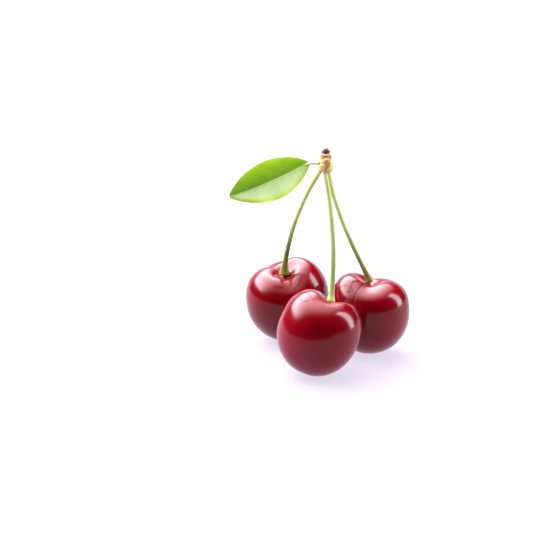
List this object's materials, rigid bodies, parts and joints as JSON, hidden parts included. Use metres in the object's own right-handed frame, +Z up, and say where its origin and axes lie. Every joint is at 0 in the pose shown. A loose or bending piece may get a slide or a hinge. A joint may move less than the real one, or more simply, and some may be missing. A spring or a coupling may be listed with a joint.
{
  "type": "cluster of cherries on stalks",
  "caption": "Ripe dark red cherries on slender green stalks that meet at a woody fruiting spur with a small leaf; stands on its fruits with the spur upward.",
  "frame": {"origin": "under the middle of the whole cluster's bounding box, on the plane that the fruits rest on", "axes": "+Z up from the fruits to the spur; -Y is the front, where the nearest fruit is; +X is to the right seen from the front"},
  "size_m": [0.0558, 0.056, 0.0658],
  "materials": {
    "skin": "glossy ripe fruit skin",
    "stalk": "satin green stalk",
    "spur_wood": "dull young bark",
    "dry_scale": "dull dry bud scale",
    "bud": "satin dark bud",
    "leaf": "waxy young leaf"
  },
  "bodies": {
    "root": {"cherry_left": "skin", "cherry_front": "skin", "cherry_right": "skin", "stalk_left": "stalk", "stalk_front": "stalk", "stalk_right": "stalk", "spur": "spur_wood", "spur_bud": "bud", "tip_scale_left": "bud", "tip_scale_right": "bud", "bud_scale_1": "dry_scale", "bud_scale_2": "dry_scale", "bud_scale_3": "dry_scale", "bud_scale_4": "dry_scale", "leaf": "leaf"}
  },
  "joints": []
}
